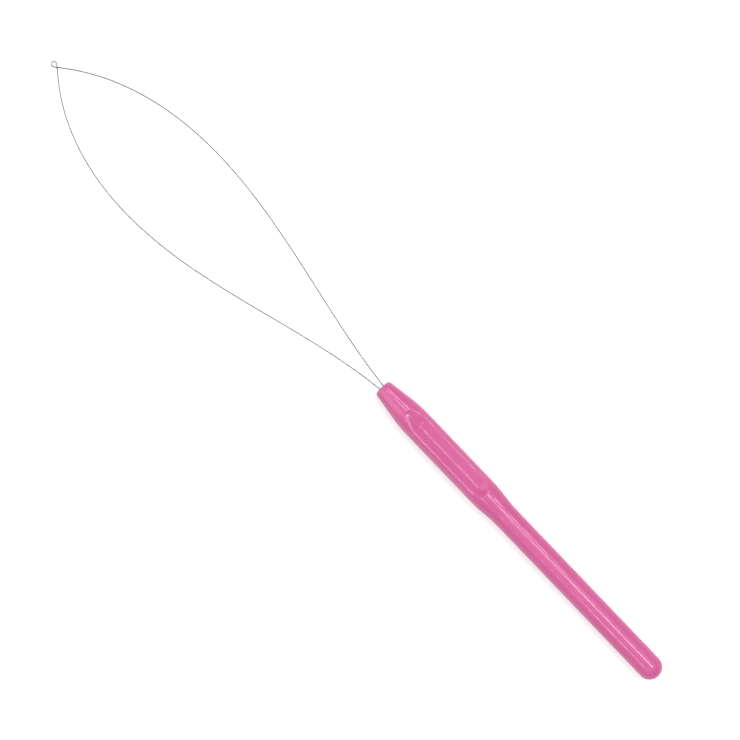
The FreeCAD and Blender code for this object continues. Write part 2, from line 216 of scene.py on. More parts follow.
def graded(low, high, count, peaks, base=1.0):
    """Positions from low to high, closer together near each peak (place, width, weight): the density is
    base plus the sum of bell curves, and the positions are where its running total passes equal steps."""
    fine = np.linspace(low, high, 4001)
    density = np.full_like(fine, base)
    for place, width, weight in peaks:
        density += weight * np.exp(-(((fine - place) / width) ** 2))
    total = np.concatenate([[0], np.cumsum((density[1:] + density[:-1]) / 2)])
    return np.interp(np.linspace(0, total[-1], count), total, fine)


def soft_min(a, b, reach):
    """The lesser of a and b, with their meeting rounded where they differ by less than reach."""
    close = np.clip(reach - np.abs(a - b), 0, None) / reach
    return np.minimum(a, b) - close**2 * reach / 4


def soft_max(a, b, reach):
    """The greater of a and b, rounded in the same way."""
    return -soft_min(-a, -b, reach)


# ---------------------------------------------------------------- the handle
def arc(centre, radius, start, end, count):
    """Points (x, r) on an arc of the profile, angles in degrees from +x towards +r."""
    turn = np.radians(np.linspace(start, end, count))
    return np.stack([centre[0] + radius * np.cos(turn), centre[1] + radius * np.sin(turn)], 1)


def handle_profile(h, x_skin):
    """The handle's half section as points (x, r): up the bore's wall, round its mouth, across the nose
    face, round the nose's edge, along the skin at the given x, and round the butt almost to its pole. Also
    how many of the points come before the nose's edge."""
    slope, _ = nose_slope(h)
    # the rings along the wall come closer together towards the mouth
    wall_x = np.append(np.linspace(float(BOND_LOW[0]), -1.2 * MM, 6), [-0.6 * MM, -0.3 * MM])
    wall = np.stack([wall_x, np.full_like(wall_x, h.bore)], 1)
    mouth = arc((-h.mouth_rounding, h.bore + h.mouth_rounding), h.mouth_rounding, -90, 0, 7)
    face_radii = np.linspace(h.bore + h.mouth_rounding, h.nose - h.nose_rounding, 6)[1:-1]
    face = np.stack([np.zeros_like(face_radii), face_radii], 1)
    edge_centre = (-h.nose_rounding, h.nose - h.nose_rounding)
    edge = arc(edge_centre, h.nose_rounding, 0, 90 - math.degrees(slope), 12)
    skin = np.stack([x_skin, skin_radius(h, x_skin)], 1)
    butt = arc((-h.overall + h.shank, 0), h.shank, 90, 179.2, 30)
    inner = [wall, mouth, face]
    return np.concatenate([*inner, edge, skin, butt]), sum(len(part) for part in inner)


def nose_slope(h):
    """The nose cone's slope and where its straight part ends: a line tangent to the nose's rounded edge and
    to the blend arc. The slope is found by fixed-point steps from a first guess."""
    slope = 0.1
    for _ in range(60):
        edge_x = -h.nose_rounding + h.nose_rounding * math.sin(slope)
        edge_r = h.nose - h.nose_rounding * (1 - math.cos(slope))
        arc_x = -h.grip_front + h.nose_blend * math.sin(slope)
        arc_r = h.grip - h.nose_blend * (1 - math.cos(slope))
        slope = 0.5 * slope + 0.5 * math.atan2(arc_r - edge_r, edge_x - arc_x)
    return slope, arc_x


def skin_radius(h, x):
    """Outside radius at x: the nose cone, the blend arc, the grip, an S-step of two equal arcs, and the
    shank."""
    slope, arc_x = nose_slope(h)
    blend = h.grip - h.nose_blend + np.sqrt(np.clip(h.nose_blend**2 - (x + h.grip_front) ** 2, 0, None))
    start_r = h.grip - h.nose_blend * (1 - math.cos(slope))
    cone = start_r - (x - arc_x) * math.tan(slope)
    drop = h.grip - h.shank
    bend = (h.neck**2 + drop**2) / (4 * drop)
    into = np.clip(-h.grip_rear - x, 0, h.neck)
    fall = h.grip - (bend - np.sqrt(bend**2 - np.minimum(into, h.neck / 2) ** 2))
    rise = h.shank + (bend - np.sqrt(bend**2 - np.minimum(h.neck - into, h.neck / 2) ** 2))
    step = np.where(into < h.neck / 2, fall, rise)
    return np.where(x > arc_x, cone, np.where(x > -h.grip_front, blend, step))


def recess_radius(r, x, turn):
    """Distance from the axis to the recess's floor, along the direction turn from +Y, at each x. The
    floor's height is keel(x) + tan(flank) * (sqrt(y^2 + b^2) - b), which in polar form is a quadratic.
    Where a direction never meets the floor, the distance is large. The keel falls down a short wall and a
    ramp at the front, runs level, and rises at the rear as a power of the distance, ever more steeply."""
    ramp = r.tip_height + (-r.tip - x) * (r.keel - r.tip_height) / (r.front - r.tip)
    wall = r.tip_height + (x + r.tip) * r.tip_wall
    front = soft_max(ramp, wall, r.ramp_rounding)
    share = np.clip((-r.rear - x) / (r.end - r.rear), 0, 2)
    rear = r.keel + (r.end_height - r.keel) * share**r.rear_power
    keel = soft_max(soft_max(front, rear, r.ramp_rounding), np.full_like(x, r.keel), r.ramp_rounding)
    rise, b = math.tan(r.flank), r.keel_rounding
    up, side = np.abs(np.sin(turn)), np.cos(turn)
    base = keel - rise * b
    lead = up**2 - (rise * side) ** 2
    inside = (base * up) ** 2 - lead * (base**2 - (rise * b) ** 2)
    meets = lead > 1e-4
    distance = (base * up + np.sqrt(np.clip(inside, 0, None))) / np.where(meets, lead, 1)
    return np.where(meets, distance, 1.0)


def handle_surface(h, r):
    """The handle's skin as rings about the X axis: at each profile point and direction, the lesser of the
    turned radius and the recess's floor, with the rim rounded. A fine witness line, a bell curve across,
    stands midway between the two recesses on both sides. The whole is rolled a little about the axis."""
    # directions: closer together along the keels, along the rims to each side of them, and at the seams
    rim = 0.67
    turn_peaks = [(keel + lean, width, weight)
                  for keel in (0.5 * math.pi, 1.5 * math.pi)
                  for lean, width, weight in ((0, 0.06, 3.0), (-rim, 0.10, 2.6), (rim, 0.10, 2.6))]
    turn_peaks += [(seam, 0.02, 3.0) for seam in (0, math.pi, 2 * math.pi)]
    turn = graded(0, 2 * math.pi, 301, turn_peaks)[:-1]
    # places along the axis: closer together at both ends of the recess, at the foot of its ramp, and
    # along the neck
    along_peaks = [(-r.tip, 0.3 * MM, 16.0), (-r.tip - 1.5 * MM, 2.2 * MM, 4.0), (-r.front, 0.7 * MM, 6.0),
                   (-r.end + 0.1 * MM, 0.5 * MM, 16.0), (-r.end + 1.4 * MM, 1.3 * MM, 6.0),
                   (-h.grip_rear - h.neck / 2, 4 * MM, 1.0)]
    x_skin = graded(-h.overall + h.shank, nose_skin_start(h), 246, along_peaks, base=0.7)[::-1][1:-1]
    profile, inner_count = handle_profile(h, x_skin)
    x, radius = profile[:, :1], profile[:, 1:]
    outer = (np.arange(len(profile)) >= inner_count)[:, None]
    behind_nose = x < -5 * MM
    cut = recess_radius(r, np.broadcast_to(x, (len(x), len(turn))), turn[None, :])
    shaped = np.where(outer & behind_nose, soft_min(radius, cut, r.rim_rounding), radius)
    seam = h.seam_height * np.exp(-((radius * np.sin(turn)[None, :] / h.seam_width) ** 2))
    front_fade = np.clip((-x - h.nose_rounding) / (1 * MM), 0, 1)
    rear_fade = np.clip((x + h.overall) / (0.6 * MM), 0, 1)
    shaped = shaped + np.where(outer, seam * (front_fade * rear_fade), 0)
    turned = turn + h.roll
    along = np.broadcast_to(x, shaped.shape)
    return np.stack([along, shaped * np.cos(turned), shaped * np.sin(turned)], -1)


def nose_skin_start(h):
    """Where the nose's rounded edge meets its cone."""
    slope, _ = nose_slope(h)
    return -h.nose_rounding + h.nose_rounding * math.sin(slope)


def turned_object(name, rings, first, last):
    """A closed mesh from rings that turn anticlockwise about +X and run outwards and back towards -X, with
    a fan at each end."""
    rows, ring = rings.shape[:2]
    vertices = np.concatenate([rings.reshape(-1, 3), [first, last]])
    after = (np.arange(ring) + 1) % ring
    base = (rows - 1) * ring
    start_fan = np.stack([np.full(ring, rows * ring), np.arange(ring), after], 1)
    end_fan = np.stack([np.full(ring, rows * ring + 1), base + after, base + np.arange(ring)], 1)
    faces = [quad[::-1] for quad in ring_faces(rows, ring)] + start_fan.tolist() + end_fan.tolist()
    return mesh_object(name, vertices, faces)


# ---------------------------------------------------------------- the wire
def leg_heading(w, side, along):
    """A leg's angle from +X, away from the axis, after a length of wire: a parabola that peaks part of the
    way along."""
    peak, at = getattr(w, f"{side}_peak"), getattr(w, f"{side}_peak_at")
    rate = math.radians(getattr(w, f"{side}_rate")) / MM**2
    return peak - rate / 2 * (along - at) ** 2


def leg_start(side):
    """Where a leg leaves the nose: the pivot between its first span and the handle."""
    root = JOINTS["left_root" if side == "left" else "loop_squeeze"]
    return np.array(root["pos_m"])


def flat_leg(w, side, along):
    """Points of a leg laid flat, at distances along it: the start plus the running sum of its heading's
    cosine and sine, by the trapezium rule."""
    heading = leg_heading(w, side, along)
    steps = np.diff(along)
    run = np.concatenate([[0], np.cumsum((np.cos(heading[1:]) + np.cos(heading[:-1])) / 2 * steps)])
    spread = np.concatenate([[0], np.cumsum((np.sin(heading[1:]) + np.sin(heading[:-1])) / 2 * steps)])
    start = leg_start(side)
    return np.stack([start[0] + run, start[1] + SIDES[side] * spread, np.zeros_like(run)], 1)


def leg_lengths(w):
    """Length of each leg, which ends a stub short of where the two flat legs cross."""
    past_crossing, before_crossing = 130 * MM, 80 * MM
    along = np.arange(0, past_crossing, 0.02 * MM)
    legs = {side: flat_leg(w, side, along) for side in SIDES}
    x = np.linspace(before_crossing, min(leg[-1, 0] for leg in legs.values()), 20001)
    left_y, right_y = (np.interp(x, leg[:, 0], leg[:, 1]) for leg in legs.values())
    cross = x[np.argmax(left_y - right_y < 0)]
    return {side: float(np.interp(cross, leg[:, 0], along)) - w.stub for side, leg in legs.items()}


def eye_path(w, ends, lengths):
    """The eye's centre line from the left leg's end to the right leg's end, and how far each end is lifted.
    Two straight stubs run tangent into a helix that turns by half a turn plus the angle between the legs,
    and the whole rises evenly, so that the wires clear each other where they cross."""
    left, right = (float(leg_heading(w, side, np.array(lengths[side]))) for side in SIDES)
    half, lean = -(left + right) / 2, (left - right) / 2
    towards = np.array([math.cos(left), math.sin(left)])
    other = np.array([math.cos(right), -math.sin(right)])
    across = (ends["right"] - ends["left"])[:2]
    reach = (across[0] * other[1] - across[1] * other[0]) / (towards[0] * other[1] - towards[1] * other[0])
    crossing = ends["left"][:2] + towards * reach
    to_tangent, turn = w.eye / math.tan(half), math.pi + 2 * half
    slope = (w.diameter + w.clearance) / (turn * w.eye + 2 * to_tangent)
    centre = crossing + w.eye / math.sin(half) * np.array([math.cos(lean), math.sin(lean)])
    around = lean - math.pi / 2 - half + np.linspace(0, turn, 61)
    helix = centre + w.eye * np.stack([np.cos(around), np.sin(around)], 1)
    stubs = {side: to_tangent + float(np.linalg.norm(crossing - ends[side][:2])) for side in SIDES}
    share = np.linspace(0, 1, 17)[:-1, None]
    flat = np.concatenate([
        ends["left"][:2] * (1 - share) + helix[0] * share,
        helix,
        (helix[-1] * share[::-1] + ends["right"][:2] * (1 - share[::-1])),
    ])
    gone = np.concatenate([[0], np.cumsum(np.linalg.norm(np.diff(flat, axis=0), axis=1))])
    lift = {side: slope * (turn * w.eye / 2 + stubs[side]) for side in SIDES}
    return np.concatenate([flat, (gone * slope - lift["left"])[:, None]], 1), lift


def tail_path(w, side):
    """A tail's centre line: straight along the bore, then an arc that turns it to its leg's heading, then
    straight out of the nose to the leg's start."""
    start = leg_start(side)
    heading = SIDES[side] * float(leg_heading(w, side, np.array(0.0)))
    bend_end = start[:2] - np.array([math.cos(heading), math.sin(heading)]) * float(start[0])
    radius = math.copysign(w.tail_bend, heading)
    centre = bend_end + radius * np.array([-math.sin(heading), math.cos(heading)])
    turn = np.linspace(0, heading, 13)
    bend = centre + radius * np.stack([np.sin(turn), -np.cos(turn)], 1)
    straight = np.stack([np.linspace(float(TAIL_LOW[0]), bend[0, 0], 12)[:-1], np.full(11, bend[0, 1])], 1)
    out = np.stack([bend_end + (start[:2] - bend_end) * share for share in (0.25, 0.5, 0.75)])
    flat = np.concatenate([straight, bend, out])
    return np.concatenate([flat, np.zeros((len(flat), 1))], 1)


def wire_paths(w):
    """Centre line of each leg with its tail, the left one going on through the eye, as points and distances
    along the wire from the leg's start. Each leg is tilted about its start to meet the eye's lifted ends,
    and the heights are smoothed over a millimetre or so where the slopes meet."""
    lengths, spacing, half_window = leg_lengths(w), 0.05 * MM, 22
    flat, along = {}, {}
    for side in SIDES:
        along[side] = np.append(np.arange(0, lengths[side], spacing), lengths[side])
        flat[side] = flat_leg(w, side, along[side])
    eye, lift = eye_path(w, {side: flat[side][-1] for side in SIDES}, lengths)
    paths = {}
    for side, sign in SIDES.items():
        start = flat[side][0]
        tilt = math.atan2(lift[side], flat[side][-1, 0] - start[0])
        leg = flat[side].copy()
        leg[:, 2] = -sign * (leg[:, 0] - start[0]) * math.tan(tilt)
        parts = [tail_path(w, side), leg] + ([eye[1:]] if side == "left" else [])
        points = np.concatenate(parts)
        gone = np.concatenate([[0], np.cumsum(np.linalg.norm(np.diff(points, axis=0), axis=1))])
        gone -= gone[len(parts[0])]
        even = np.append(np.arange(gone[0], gone[-1], spacing), gone[-1])
        dense = np.stack([np.interp(even, gone, points[:, axis]) for axis in range(3)], 1)
        window = np.hanning(2 * half_window + 1)
        padded = np.pad(dense[:, 2], half_window, mode="edge")
        dense[:, 2] = np.convolve(padded, window / window.sum(), mode="valid")
        paths[side] = (even, dense)
    return paths, lengths


def wire_piece(name, w, path, low, high, spacing, round_end):
    """A round tube along part of a path, from one distance along the wire to another. Each ring lies
    square to the path, with its first point to the left. Each end is closed by a flat cap, or the far one
    by half a ball about the path's point there: its rings shrink as the cosine of an angle while they
    advance as its sine. The edges round both ends are sharp, so that the caps don't tilt the tube's
    shading."""
    even, dense = path
    low, high = max(low, even[0]), min(high, even[-1])
    count = int(math.ceil((high - low) / spacing)) + 1
    along = np.linspace(low, high, count)
    last_ring = count - 1
    radius = np.full(count, w.diameter / 2)
    if round_end:
        latitude = np.linspace(0, math.pi / 2, 7)[1:-1]
        along = np.append(along, high + w.diameter / 2 * np.sin(latitude))
        radius = np.append(radius, w.diameter / 2 * np.cos(latitude))
        count = len(along)
    inside = np.minimum(along, even[-1])
    near = 0.1 * MM
    points, ahead, behind = (
        np.stack([np.interp(inside + step, even, dense[:, axis]) for axis in range(3)], 1)
        for step in (0, near, -near))
    travel = ahead - behind
    travel /= np.linalg.norm(travel, axis=1, keepdims=True)
    points += travel * (along - inside)[:, None]
    aside = np.cross([0, 0, 1], travel)
    aside /= np.linalg.norm(aside, axis=1, keepdims=True)
    up = np.cross(travel, aside)
    ring = 20
    turn = np.arange(ring) * 2 * math.pi / ring
    outwards = np.cos(turn)[None, :, None] * aside[:, None] + np.sin(turn)[None, :, None] * up[:, None]
    rings = points[:, None] + radius[:, None, None] * outwards
    pole = points[-1:] + (travel[-1:] * (high + w.diameter / 2 - along[-1]) if round_end else 0)
    vertices = np.concatenate([rings.reshape(-1, 3), points[:1], pole])
    after = (np.arange(ring) + 1) % ring
    base = (count - 1) * ring
    start_fan = np.stack([np.full(ring, count * ring), after, np.arange(ring)], 1)
    end_fan = np.stack([np.full(ring, count * ring + 1), base + np.arange(ring), base + after], 1)
    faces = ring_faces(count, ring) + start_fan.tolist() + end_fan.tolist()
    made = mesh_object(name, vertices, faces)
    smooth = np.ones(len(made.data.polygons), bool)
    smooth[-2 * ring:-ring], smooth[-ring:] = False, round_end
    made.data.polygons.foreach_set("use_smooth", smooth)
    corners = np.empty(2 * len(made.data.edges), np.int32)
    made.data.edges.foreach_get("vertices", corners)
    of_ring = corners.reshape(-1, 2) // ring
    sharp = (of_ring[:, 0] == of_ring[:, 1]) & np.isin(of_ring[:, 0], (0, last_ring))
    made.data.edges.foreach_set("use_edge_sharp", sharp)
    lengthwise = np.repeat(along, ring)
    places = np.stack([lengthwise, np.tile(np.cos(turn), count), np.tile(np.sin(turn), count)], 1)
    places = np.concatenate([places, [[low, 0, 0], [along[-1], 0, 0]]])
    drawn = made.data.attributes.new("drawn", "FLOAT_VECTOR", "POINT")
    drawn.data.foreach_set("vector", places.astype(np.float32).ravel())
    made.data.update()
    return made


# ---------------------------------------------------------------- the bond
def bond_surface(w, h):
    """The bond's front and sides as rings about the X axis. The front is a shallow bowl, deepest at the
    middle, that climbs a little up each wire: the climb falls off with distance from the wire as a decaying
    exponential. It stays just inside the nose face."""
    sag, climb, climb_width = 0.17 * MM, 0.1 * MM, 0.09 * MM
    inside_face, wall_start = 0.01 * MM, -0.5 * MM
    turn = np.linspace(0, 2 * math.pi, 97)[:-1]
    ratio = graded(0.01, 1, 40, [(0.6, 0.25, 1.5)])[:, None]
    y, z = h.bore * ratio * np.cos(turn), h.bore * ratio * np.sin(turn)
    x = -h.mouth_rounding - sag * (1 - ratio**2) + np.zeros_like(y)
    for side, sign in SIDES.items():
        start = leg_start(side)
        slope = math.tan(float(leg_heading(w, side, np.array(0.0))))
        away = np.hypot(y - (start[1] - sign * slope * start[0]), z) - w.diameter / 2
        x += climb * np.exp(-np.clip(away, 0, None) / climb_width)
    x = np.minimum(x, -inside_face)
    front = np.stack([x, y, z], -1)
    depth = np.linspace(wall_start, float(BOND_LOW[0]), 6)
    around = np.stack([np.zeros_like(turn), h.bore * np.cos(turn), h.bore * np.sin(turn)], -1)
    wall = around[None] + depth[:, None, None] * np.array([1, 0, 0])
    return np.concatenate([front, wall])


# ---------------------------------------------------------------- shared effects
def new_group(name, inputs, outputs):
    """An empty shader node group with named sockets, (name, kind, value) for each input."""
    group = bpy.data.node_groups.new(name, "ShaderNodeTree")
    for label, kind, value in inputs:
        socket = group.interface.new_socket(label, in_out="INPUT", socket_type=kind)
        if value is not None:
            socket.default_value = value
    for label, kind in outputs:
        group.interface.new_socket(label, in_out="OUTPUT", socket_type=kind)
    return group, group.nodes.new("NodeGroupInput"), group.nodes.new("NodeGroupOutput")


def shared_group(name, maker):
    """The shared effect of that name, made the first time it is asked for."""
    return bpy.data.node_groups.get(name) or maker(name)


def make_mottle(name):
    """Soft patches: two sizes of noise added together and stretched to run from 0 to 1."""
    group, given, out = new_group(
        name,
        [("Vector", "NodeSocketVector", None), ("Scale", "NodeSocketFloat", 100.0),
         ("Contrast", "NodeSocketFloat", 1.0)],
        [("Mask", "NodeSocketFloat")])
    nodes, link = group.nodes, group.links.new
    fine_share, times_finer = 0.35, 5.3
    coarse = nodes.new("ShaderNodeTexNoise")
    coarse.inputs["Detail"].default_value = 3
    coarse.inputs["Roughness"].default_value = 0.55
    finer = nodes.new("ShaderNodeMath")
    finer.operation = "MULTIPLY"
    finer.inputs[1].default_value = times_finer
    fine = nodes.new("ShaderNodeTexNoise")
    fine.inputs["Detail"].default_value = 2
    both = nodes.new("ShaderNodeMath")
    both.operation = "MULTIPLY_ADD"
    both.inputs[1].default_value = fine_share
    centred = nodes.new("ShaderNodeMath")
    centred.operation = "SUBTRACT"
    centred.inputs[1].default_value = (1 + fine_share) / 2
    spread = nodes.new("ShaderNodeMath")
    spread.operation = "MULTIPLY_ADD"
    spread.use_clamp = True
    spread.inputs[2].default_value = 0.5
    for noise in (coarse, fine):
        link(given.outputs["Vector"], noise.inputs["Vector"])
    link(given.outputs["Scale"], coarse.inputs["Scale"])
    link(given.outputs["Scale"], finer.inputs[0])
    link(finer.outputs[0], fine.inputs["Scale"])
    link(fine.outputs["Fac"], both.inputs[0])
    link(coarse.outputs["Fac"], both.inputs[2])
    link(both.outputs[0], centred.inputs[0])
    link(centred.outputs[0], spread.inputs[0])
    link(given.outputs["Contrast"], spread.inputs[1])
    link(spread.outputs[0], out.inputs["Mask"])
    return group


def make_fine_lines(name):
    """Fine lines that run along the vector's first axis: noise stretched along it by the given ratio,
    sharpened."""
    group, given, out = new_group(
        name,
        [("Vector", "NodeSocketVector", None), ("Scale", "NodeSocketFloat", 1000.0),
         ("Stretch", "NodeSocketFloat", 0.02)],
        [("Height", "NodeSocketFloat"), ("Mask", "NodeSocketFloat")])
    nodes, link = group.nodes, group.links.new
    ratios = nodes.new("ShaderNodeCombineXYZ")
    ratios.inputs["Y"].default_value = 1
    ratios.inputs["Z"].default_value = 1
    stretched = nodes.new("ShaderNodeVectorMath")
    stretched.operation = "MULTIPLY"
    noise = nodes.new("ShaderNodeTexNoise")
    noise.inputs["Detail"].default_value = 4
    noise.inputs["Roughness"].default_value = 0.65
    sharp = nodes.new("ShaderNodeMapRange")
    sharp.inputs["From Min"].default_value = 0.56
    sharp.inputs["From Max"].default_value = 0.74
    link(given.outputs["Stretch"], ratios.inputs["X"])
    link(given.outputs["Vector"], stretched.inputs[0])
    link(ratios.outputs[0], stretched.inputs[1])
    link(stretched.outputs[0], noise.inputs["Vector"])
    link(given.outputs["Scale"], noise.inputs["Scale"])
    link(noise.outputs["Fac"], sharp.inputs["Value"])
    link(noise.outputs["Fac"], out.inputs["Height"])
    link(sharp.outputs["Result"], out.inputs["Mask"])
    return group


def material(name):
    """A new material's node tree, its shader and a way to add nodes."""
    made = bpy.data.materials.new(name)
    made.use_nodes = True
    return made, made.node_tree.nodes, made.node_tree.links.new, made.node_tree.nodes["Principled BSDF"]


def place_group(nodes, name, maker, **values):
    """A node that uses a shared effect, with this material's own values."""
    node = nodes.new("ShaderNodeGroup")
    node.node_tree = shared_group(name, maker)
    for label, value in values.items():
        node.inputs[label].default_value = value
    return node


def map_mask(nodes, link, mask, low, high):
    """A number that runs from low to high as the mask runs from 0 to 1."""
    node = nodes.new("ShaderNodeMapRange")
    node.inputs["To Min"].default_value = low
    node.inputs["To Max"].default_value = high
    link(mask, node.inputs["Value"])
    return node.outputs["Result"]


def mix_colours(nodes, link, mask, first, second):
    """A colour that runs from first to second as the mask runs from 0 to 1."""
    node = nodes.new("ShaderNodeMix")
    node.data_type = "RGBA"
    link(mask, node.inputs["Factor"])
    for socket, value in ((node.inputs[6], first), (node.inputs[7], second)):
        if hasattr(value, "is_output"):
            link(value, socket)
        else:
            socket.default_value = (*value, 1)
    return node.outputs[2]


def bump(nodes, link, height, strength, distance, below=None):
    """A normal from a height, on top of another bump's normal if one is given."""
    node = nodes.new("ShaderNodeBump")
    node.inputs["Strength"].default_value = strength
    node.inputs["Distance"].default_value = distance
    link(height, node.inputs["Height"])
    if below is not None:
        link(below, node.inputs["Normal"])
    return node.outputs["Normal"]


# ---------------------------------------------------------------- materials
def plastic_material():
    """Glossy moulded plastic, solid pink: slow changes of tone where the melt flowed, a faint orange-peel
    skin, and fine handling marks along the handle."""
    finish = bpy.context.scene.threader_finish
    made, nodes, link, shader = material("moulded pink")
    shader.inputs["IOR"].default_value = 1.5
    shader.inputs["Coat Weight"].default_value = 0.25
    shader.inputs["Coat Roughness"].default_value = 0.06
    place = nodes.new("ShaderNodeTexCoord").outputs["Object"]
    flow = place_group(nodes, "mottle", make_mottle, Scale=55.0, Contrast=1.6)
    skin = place_group(nodes, "mottle", make_mottle, Scale=900.0, Contrast=1.4)
    marks = place_group(nodes, "fine lines", make_fine_lines, Scale=2600.0, Stretch=0.03)
    for node in (flow, skin, marks):
        link(place, node.inputs["Vector"])
    tone = mix_colours(nodes, link, flow.outputs["Mask"], finish.plastic, finish.plastic_deep)
    link(tone, shader.inputs["Base Color"])
    rough = nodes.new("ShaderNodeMath")
    rough.operation = "ADD"
    link(map_mask(nodes, link, skin.outputs["Mask"], 0.13, 0.18), rough.inputs[0])
    link(map_mask(nodes, link, marks.outputs["Mask"], 0.0, 0.12), rough.inputs[1])
    link(rough.outputs[0], shader.inputs["Roughness"])
    peel = bump(nodes, link, skin.outputs["Mask"], 0.2, 0.003 * MM)
    link(bump(nodes, link, marks.outputs["Height"], 0.2, 0.004 * MM, peel), shader.inputs["Normal"])
    return made


def wire_material():
    """Drawn spring wire: bright steel with fine die lines along it and faint patches of duller skin."""
    finish = bpy.context.scene.threader_finish
    made, nodes, link, shader = material("drawn spring wire")
    shader.inputs["Metallic"].default_value = 1
    read = nodes.new("ShaderNodeAttribute")
    read.attribute_name = "drawn"
    scaled = nodes.new("ShaderNodeMapping")
    scaled.inputs["Scale"].default_value = (1000, 0.15, 0.15)
    link(read.outputs["Vector"], scaled.inputs["Vector"])
    lines = place_group(nodes, "fine lines", make_fine_lines, Scale=60.0, Stretch=0.02)
    patches = place_group(nodes, "mottle", make_mottle, Scale=0.35, Contrast=1.8)
    link(scaled.outputs["Vector"], lines.inputs["Vector"])
    link(scaled.outputs["Vector"], patches.inputs["Vector"])
    dull = tuple(0.74 * part for part in finish.steel)
    skin = mix_colours(nodes, link, patches.outputs["Mask"], finish.steel, dull)
    dark = tuple(0.45 * part for part in finish.steel)
    link(mix_colours(nodes, link, map_mask(nodes, link, lines.outputs["Mask"], 0, 0.6), skin, dark),
         shader.inputs["Base Color"])
    link(map_mask(nodes, link, patches.outputs["Mask"], 0.24, 0.4), shader.inputs["Roughness"])
    link(bump(nodes, link, lines.outputs["Height"], 0.4, 0.004 * MM), shader.inputs["Normal"])
    return made


def bond_material():
    """Cured clear-amber adhesive, slightly cloudy, with a wet-looking skin."""
    finish = bpy.context.scene.threader_finish
    made, nodes, link, shader = material("cured adhesive")
    shader.inputs["IOR"].default_value = 1.53
    shader.inputs["Coat Weight"].default_value = 0.4
    shader.inputs["Coat Roughness"].default_value = 0.05
    place = nodes.new("ShaderNodeTexCoord").outputs["Object"]
    cloud = place_group(nodes, "mottle", make_mottle, Scale=1400.0, Contrast=1.8)
    link(place, cloud.inputs["Vector"])
    darker = tuple(0.62 * part for part in finish.bond)
    link(mix_colours(nodes, link, cloud.outputs["Mask"], finish.bond, darker), shader.inputs["Base Color"])
    link(map_mask(nodes, link, cloud.outputs["Mask"], 0.16, 0.3), shader.inputs["Roughness"])
    link(bump(nodes, link, cloud.outputs["Mask"], 0.3, 0.01 * MM), shader.inputs["Normal"])
    return made


def floor_material():
    """Matt, pale and almost plain, and whiter to the camera than its light makes it."""
    finish = bpy.context.scene.threader_finish
    made, nodes, link, shader = material("pale floor")
    shader.inputs["Roughness"].default_value = 0.9
    shader.inputs["Specular IOR Level"].default_value = 0.1
    place = nodes.new("ShaderNodeTexCoord").outputs["Object"]
    cloud = place_group(nodes, "mottle", make_mottle, Scale=8.0, Contrast=1.0)
    link(place, cloud.inputs["Vector"])
    paler = tuple(0.99 * part for part in finish.floor)
    link(mix_colours(nodes, link, cloud.outputs["Mask"], finish.floor, paler), shader.inputs["Base Color"])
    seen = nodes.new("ShaderNodeLightPath").outputs["Is Camera Ray"]
    shader.inputs["Emission Color"].default_value = (1, 1, 1, 1)
    link(map_mask(nodes, link, seen, 0, finish.floor_glow), shader.inputs["Emission Strength"])
    return made


# ---------------------------------------------------------------- the stage
def soft_light(name, place, target, wide, long, watts):
    """A soft rectangular light at a place, facing a target, its long side along X."""
    lamp = bpy.data.lights.new(name, "AREA")
    lamp.shape, lamp.size, lamp.size_y, lamp.energy = "RECTANGLE", long, wide, watts
    made = bpy.data.objects.new(name, lamp)
    bpy.context.scene.collection.objects.link(made)
    back = (Vector(place) - Vector(target)).normalized()
    along = Vector((1, 0, 0)) - back * back.x
    along.normalize()
    turned = Matrix((along, back.cross(along), back)).transposed().to_4x4()
    turned.translation = Vector(place)
    made.matrix_world = turned
    return made


# the strip lights: name, lean from straight up towards -Y in degrees, ends along X in metres, brightness
STRIPS = (
    ("strip, near", 16, -0.65, 0.38, 11),
    ("strip, far front", 38, -0.02, 0.38, 15),
    ("strip, over the recess", -2, -0.1, -0.02, 20),
    ("strip, far neck", 38, -0.17, -0.1, 15),
    ("strip, far rear", 38, -0.65, -0.3, 15),
    ("strip, middle", 22, -0.3, -0.17, 10),
    ("strip, other side", -37, -0.235, -0.175, 16),
)


def studio_world(low, high):
    """A soft white dome, brighter overhead: its strength runs evenly with height from the horizon to
    straight up. Behind the object it looks as pale as the floor."""
    world = bpy.data.worlds.new("studio")
    world.use_nodes = True
    nodes, link = world.node_tree.nodes, world.node_tree.links.new
    place = nodes.new("ShaderNodeTexCoord")
    apart = nodes.new("ShaderNodeSeparateXYZ")
    strength = nodes.new("ShaderNodeMapRange")
    strength.inputs["To Min"].default_value = low
    strength.inputs["To Max"].default_value = high
    link(place.outputs["Generated"], apart.inputs[0])
    link(apart.outputs["Z"], strength.inputs["Value"])
    pale = nodes.new("ShaderNodeMath")
    pale.operation = "MAXIMUM"
    link(nodes.new("ShaderNodeLightPath").outputs["Is Camera Ray"], pale.inputs[0])
    link(strength.outputs["Result"], pale.inputs[1])
    sky = nodes["Background"]
    sky.inputs["Color"].default_value = (1, 1, 1, 1)
    link(pale.outputs[0], sky.inputs["Strength"])
    return world


